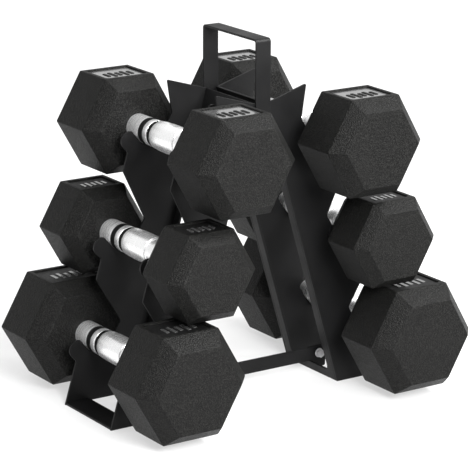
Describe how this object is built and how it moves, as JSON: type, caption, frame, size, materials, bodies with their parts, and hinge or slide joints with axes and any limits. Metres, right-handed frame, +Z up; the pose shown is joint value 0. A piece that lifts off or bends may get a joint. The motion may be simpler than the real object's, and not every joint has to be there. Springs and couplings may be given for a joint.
{
  "type": "dumbbell rack",
  "caption": "Folded sheet-steel A-frame dumbbell stand with hooked side plates on both faces holding tiers of hexagonal dumbbells by their handles, and a flat carry strip over the apex",
  "frame": {"origin": "On the floor, midway between the two legs and midway along the dumbbells", "axes": "X runs across the two legs, left to right, Y runs along the dumbbells from the front heads to the rear ones, Z is up"},
  "size_m": [0.351, 0.2614, 0.3265],
  "materials": {
    "frame_paint": "satin black powder coat",
    "zinc_fasteners": "bright plated",
    "handle_chrome": "polished",
    "head_rubber": "matte black",
    "core_iron": "raw casting"
  },
  "bodies": {
    "root": {"left_front_side_plate": "frame_paint", "left_rear_side_plate": "frame_paint", "right_front_side_plate": "frame_paint", "right_rear_side_plate": "frame_paint", "left_leg_web": "frame_paint", "right_leg_web": "frame_paint", "left_floor_strip": "frame_paint", "right_floor_strip": "frame_paint", "left_bar_lug": "frame_paint", "right_bar_lug": "frame_paint", "apex_plate": "frame_paint", "carry_strip": "frame_paint", "cross_bar": "frame_paint", "left_bar_bolt": "zinc_fasteners", "left_bar_washer": "zinc_fasteners", "left_bar_nut": "zinc_fasteners", "right_bar_bolt": "zinc_fasteners", "right_bar_washer": "zinc_fasteners", "right_bar_nut": "zinc_fasteners"},
    "left_top_dumbbell": {"left_top_handle": "handle_chrome", "left_top_front_head": "head_rubber", "left_top_rear_head": "head_rubber", "left_top_front_core": "core_iron", "left_top_rear_core": "core_iron"},
    "left_middle_dumbbell": {"left_middle_handle": "handle_chrome", "left_middle_front_head": "head_rubber", "left_middle_rear_head": "head_rubber", "left_middle_front_core": "core_iron", "left_middle_rear_core": "core_iron"},
    "left_bottom_dumbbell": {"left_bottom_handle": "handle_chrome", "left_bottom_front_head": "head_rubber", "left_bottom_rear_head": "head_rubber", "left_bottom_front_core": "core_iron", "left_bottom_rear_core": "core_iron"},
    "right_top_dumbbell": {"right_top_handle": "handle_chrome", "right_top_front_head": "head_rubber", "right_top_rear_head": "head_rubber", "right_top_front_core": "core_iron", "right_top_rear_core": "core_iron"},
    "right_middle_dumbbell": {"right_middle_handle": "handle_chrome", "right_middle_front_head": "head_rubber", "right_middle_rear_head": "head_rubber", "right_middle_front_core": "core_iron", "right_middle_rear_core": "core_iron"},
    "right_bottom_dumbbell": {"right_bottom_handle": "handle_chrome", "right_bottom_front_head": "head_rubber", "right_bottom_rear_head": "head_rubber", "right_bottom_front_core": "core_iron", "right_bottom_rear_core": "core_iron"}
  },
  "joints": [
    {"name": "left_top_lift", "type": "slide", "parent": "root", "child": "left_top_dumbbell", "axis": [-0.5736, 0, 0.8191], "range_m": [0, 0.16]},
    {"name": "left_middle_lift", "type": "slide", "parent": "root", "child": "left_middle_dumbbell", "axis": [-0.5736, 0, 0.8191], "range_m": [0, 0.011]},
    {"name": "left_bottom_lift", "type": "slide", "parent": "root", "child": "left_bottom_dumbbell", "axis": [-0.5736, 0, 0.8191], "range_m": [0, 0.0035]},
    {"name": "right_top_lift", "type": "slide", "parent": "root", "child": "right_top_dumbbell", "axis": [0.5736, 0, 0.8191], "range_m": [0, 0.16]},
    {"name": "right_middle_lift", "type": "slide", "parent": "root", "child": "right_middle_dumbbell", "axis": [0.5736, 0, 0.8191], "range_m": [0, 0.011]},
    {"name": "right_bottom_lift", "type": "slide", "parent": "root", "child": "right_bottom_dumbbell", "axis": [0.5736, 0, 0.8191], "range_m": [0, 0.0035]}
  ]
}
